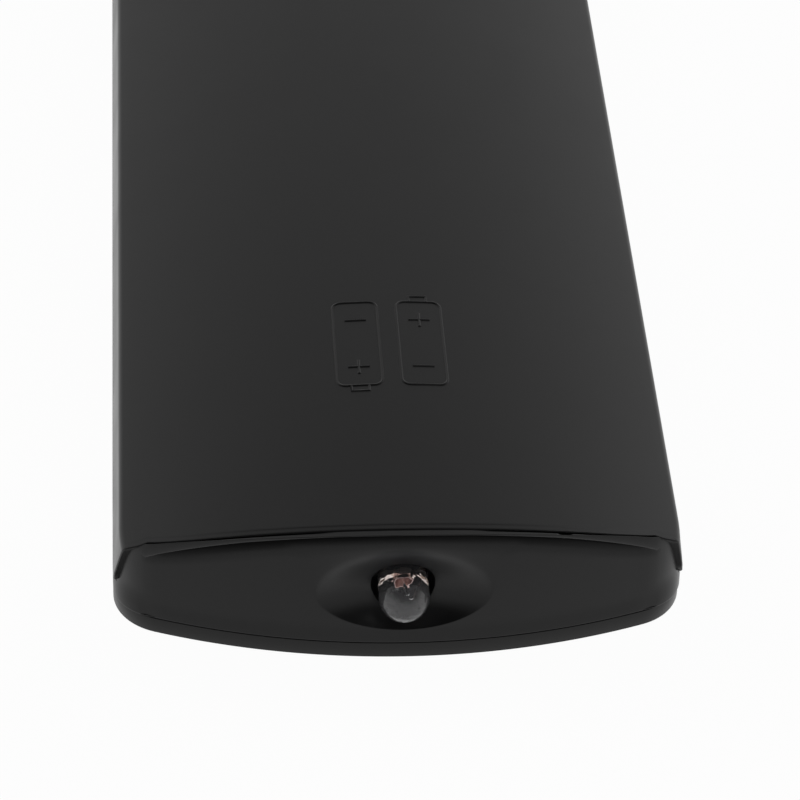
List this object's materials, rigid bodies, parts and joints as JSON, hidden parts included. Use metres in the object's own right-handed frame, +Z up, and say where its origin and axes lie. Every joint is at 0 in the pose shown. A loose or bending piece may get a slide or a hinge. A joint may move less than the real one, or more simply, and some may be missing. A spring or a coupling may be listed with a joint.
{
  "type": "remote control",
  "caption": "Slim handheld remote control: crowned black case with a sliding battery door, sprung keys on its face and a domed infrared emitter at its end.",
  "frame": {"origin": "centre of the footprint, emitter tip included, on the plane of the face's rim", "axes": "+X across the body, +Y from the emitter end to the tail, +Z up out of the crowned back"},
  "size_m": [0.057, 0.1914, 0.0155],
  "materials": {
    "casing_black": "fine satin moulding texture",
    "face_black": "fine satin moulding texture",
    "key_dark": "satin, with pale printed signs",
    "key_grey": "satin, with dark printed numbers",
    "key_red": "satin",
    "key_green": "satin",
    "key_yellow": "satin",
    "key_blue": "satin",
    "mat_rubber": "soft matt",
    "board_green": "satin solder mask over printed tracks",
    "chip_black": "matt moulded epoxy",
    "can_metal": "satin",
    "sleeve_blue": "shrunk sleeve",
    "emitter_clear": "clear cast epoxy",
    "lead_metal": "copper-toned leadframe",
    "indicator_body": "moulded, with a clear top",
    "indicator_red": "smoked red, polished",
    "cell_sleeve": "printed sleeve over a metal can",
    "contact_nickel": "nickel plated",
    "screw_zinc": "zinc plated"
  },
  "bodies": {
    "casing": {"front_shell": "casing_black", "face_plate": "face_black", "back_shell": "casing_black", "keypad_mat": "mat_rubber", "circuit_board": "board_green", "control_chip": "chip_black", "crystal": "can_metal", "capacitor": "sleeve_blue", "driver_transistor": "chip_black", "chip_resistors": "chip_black", "emitter_lens": "emitter_clear", "emitter_leads": "lead_metal", "indicator_led": "indicator_body", "indicator_window": "indicator_red", "battery_left": "cell_sleeve", "battery_right": "cell_sleeve", "contact_springs": "contact_nickel", "minus_contact": "contact_nickel", "plus_contact": "contact_nickel", "bridge_contact": "contact_nickel", "shell_screws": "screw_zinc", "board_screws": "screw_zinc"},
    "battery_door": {"battery_door": "casing_black"},
    "power_key": {"power_key": "key_red"},
    "source_key": {"source_key": "key_dark"},
    "screen_key": {"screen_key": "key_dark"},
    "disc_key": {"disc_key": "key_dark"},
    "receiver_key": {"receiver_key": "key_dark"},
    "sound_key": {"sound_key": "key_dark"},
    "digit_1_key": {"digit_1_key": "key_grey"},
    "digit_2_key": {"digit_2_key": "key_grey"},
    "digit_3_key": {"digit_3_key": "key_grey"},
    "digit_4_key": {"digit_4_key": "key_grey"},
    "digit_5_key": {"digit_5_key": "key_grey"},
    "digit_6_key": {"digit_6_key": "key_grey"},
    "digit_7_key": {"digit_7_key": "key_grey"},
    "digit_8_key": {"digit_8_key": "key_grey"},
    "digit_9_key": {"digit_9_key": "key_grey"},
    "recall_key": {"recall_key": "key_grey"},
    "digit_0_key": {"digit_0_key": "key_grey"},
    "page_key": {"page_key": "key_grey"},
    "volume_up_key": {"volume_up_key": "key_dark"},
    "mute_key": {"mute_key": "key_dark"},
    "channel_up_key": {"channel_up_key": "key_dark"},
    "volume_down_key": {"volume_down_key": "key_dark"},
    "channel_down_key": {"channel_down_key": "key_dark"},
    "up_key": {"up_key": "key_grey"},
    "left_key": {"left_key": "key_grey"},
    "ok_key": {"ok_key": "key_grey"},
    "right_key": {"right_key": "key_grey"},
    "down_key": {"down_key": "key_grey"},
    "menu_key": {"menu_key": "key_dark"},
    "exit_key": {"exit_key": "key_dark"},
    "red_key": {"red_key": "key_red"},
    "green_key": {"green_key": "key_green"},
    "yellow_key": {"yellow_key": "key_yellow"},
    "blue_key": {"blue_key": "key_blue"}
  },
  "joints": [
    {"name": "battery_door_slide", "type": "slide", "parent": "casing", "child": "battery_door", "axis": [0, 1, 0], "range_m": [0, 0.064]},
    {"name": "power_key_press", "type": "slide", "parent": "casing", "child": "power_key", "axis": [0, 0, 1], "range_m": [0, 0.0008], "stiffness_N_per_m": 1000},
    {"name": "source_key_press", "type": "slide", "parent": "casing", "child": "source_key", "axis": [0, 0, 1], "range_m": [0, 0.0008], "stiffness_N_per_m": 1000},
    {"name": "screen_key_press", "type": "slide", "parent": "casing", "child": "screen_key", "axis": [0, 0, 1], "range_m": [0, 0.0008], "stiffness_N_per_m": 1000},
    {"name": "disc_key_press", "type": "slide", "parent": "casing", "child": "disc_key", "axis": [0, 0, 1], "range_m": [0, 0.0008], "stiffness_N_per_m": 1000},
    {"name": "receiver_key_press", "type": "slide", "parent": "casing", "child": "receiver_key", "axis": [0, 0, 1], "range_m": [0, 0.0008], "stiffness_N_per_m": 1000},
    {"name": "sound_key_press", "type": "slide", "parent": "casing", "child": "sound_key", "axis": [0, 0, 1], "range_m": [0, 0.0008], "stiffness_N_per_m": 1000},
    {"name": "digit_1_key_press", "type": "slide", "parent": "casing", "child": "digit_1_key", "axis": [0, 0, 1], "range_m": [0, 0.0008], "stiffness_N_per_m": 1000},
    {"name": "digit_2_key_press", "type": "slide", "parent": "casing", "child": "digit_2_key", "axis": [0, 0, 1], "range_m": [0, 0.0008], "stiffness_N_per_m": 1000},
    {"name": "digit_3_key_press", "type": "slide", "parent": "casing", "child": "digit_3_key", "axis": [0, 0, 1], "range_m": [0, 0.0008], "stiffness_N_per_m": 1000},
    {"name": "digit_4_key_press", "type": "slide", "parent": "casing", "child": "digit_4_key", "axis": [0, 0, 1], "range_m": [0, 0.0008], "stiffness_N_per_m": 1000},
    {"name": "digit_5_key_press", "type": "slide", "parent": "casing", "child": "digit_5_key", "axis": [0, 0, 1], "range_m": [0, 0.0008], "stiffness_N_per_m": 1000},
    {"name": "digit_6_key_press", "type": "slide", "parent": "casing", "child": "digit_6_key", "axis": [0, 0, 1], "range_m": [0, 0.0008], "stiffness_N_per_m": 1000},
    {"name": "digit_7_key_press", "type": "slide", "parent": "casing", "child": "digit_7_key", "axis": [0, 0, 1], "range_m": [0, 0.0008], "stiffness_N_per_m": 1000},
    {"name": "digit_8_key_press", "type": "slide", "parent": "casing", "child": "digit_8_key", "axis": [0, 0, 1], "range_m": [0, 0.0008], "stiffness_N_per_m": 1000},
    {"name": "digit_9_key_press", "type": "slide", "parent": "casing", "child": "digit_9_key", "axis": [0, 0, 1], "range_m": [0, 0.0008], "stiffness_N_per_m": 1000},
    {"name": "recall_key_press", "type": "slide", "parent": "casing", "child": "recall_key", "axis": [0, 0, 1], "range_m": [0, 0.0008], "stiffness_N_per_m": 1000},
    {"name": "digit_0_key_press", "type": "slide", "parent": "casing", "child": "digit_0_key", "axis": [0, 0, 1], "range_m": [0, 0.0008], "stiffness_N_per_m": 1000},
    {"name": "page_key_press", "type": "slide", "parent": "casing", "child": "page_key", "axis": [0, 0, 1], "range_m": [0, 0.0008], "stiffness_N_per_m": 1000},
    {"name": "volume_up_key_press", "type": "slide", "parent": "casing", "child": "volume_up_key", "axis": [0, 0, 1], "range_m": [0, 0.0008], "stiffness_N_per_m": 1000},
    {"name": "mute_key_press", "type": "slide", "parent": "casing", "child": "mute_key", "axis": [0, 0, 1], "range_m": [0, 0.0008], "stiffness_N_per_m": 1000},
    {"name": "channel_up_key_press", "type": "slide", "parent": "casing", "child": "channel_up_key", "axis": [0, 0, 1], "range_m": [0, 0.0008], "stiffness_N_per_m": 1000},
    {"name": "volume_down_key_press", "type": "slide", "parent": "casing", "child": "volume_down_key", "axis": [0, 0, 1], "range_m": [0, 0.0008], "stiffness_N_per_m": 1000},
    {"name": "channel_down_key_press", "type": "slide", "parent": "casing", "child": "channel_down_key", "axis": [0, 0, 1], "range_m": [0, 0.0008], "stiffness_N_per_m": 1000},
    {"name": "up_key_press", "type": "slide", "parent": "casing", "child": "up_key", "axis": [0, 0, 1], "range_m": [0, 0.0008], "stiffness_N_per_m": 1000},
    {"name": "left_key_press", "type": "slide", "parent": "casing", "child": "left_key", "axis": [0, 0, 1], "range_m": [0, 0.0008], "stiffness_N_per_m": 1000},
    {"name": "ok_key_press", "type": "slide", "parent": "casing", "child": "ok_key", "axis": [0, 0, 1], "range_m": [0, 0.0008], "stiffness_N_per_m": 1000},
    {"name": "right_key_press", "type": "slide", "parent": "casing", "child": "right_key", "axis": [0, 0, 1], "range_m": [0, 0.0008], "stiffness_N_per_m": 1000},
    {"name": "down_key_press", "type": "slide", "parent": "casing", "child": "down_key", "axis": [0, 0, 1], "range_m": [0, 0.0008], "stiffness_N_per_m": 1000},
    {"name": "menu_key_press", "type": "slide", "parent": "casing", "child": "menu_key", "axis": [0, 0, 1], "range_m": [0, 0.0008], "stiffness_N_per_m": 1000},
    {"name": "exit_key_press", "type": "slide", "parent": "casing", "child": "exit_key", "axis": [0, 0, 1], "range_m": [0, 0.0008], "stiffness_N_per_m": 1000},
    {"name": "red_key_press", "type": "slide", "parent": "casing", "child": "red_key", "axis": [0, 0, 1], "range_m": [0, 0.0008], "stiffness_N_per_m": 1000},
    {"name": "green_key_press", "type": "slide", "parent": "casing", "child": "green_key", "axis": [0, 0, 1], "range_m": [0, 0.0008], "stiffness_N_per_m": 1000},
    {"name": "yellow_key_press", "type": "slide", "parent": "casing", "child": "yellow_key", "axis": [0, 0, 1], "range_m": [0, 0.0008], "stiffness_N_per_m": 1000},
    {"name": "blue_key_press", "type": "slide", "parent": "casing", "child": "blue_key", "axis": [0, 0, 1], "range_m": [0, 0.0008], "stiffness_N_per_m": 1000}
  ]
}
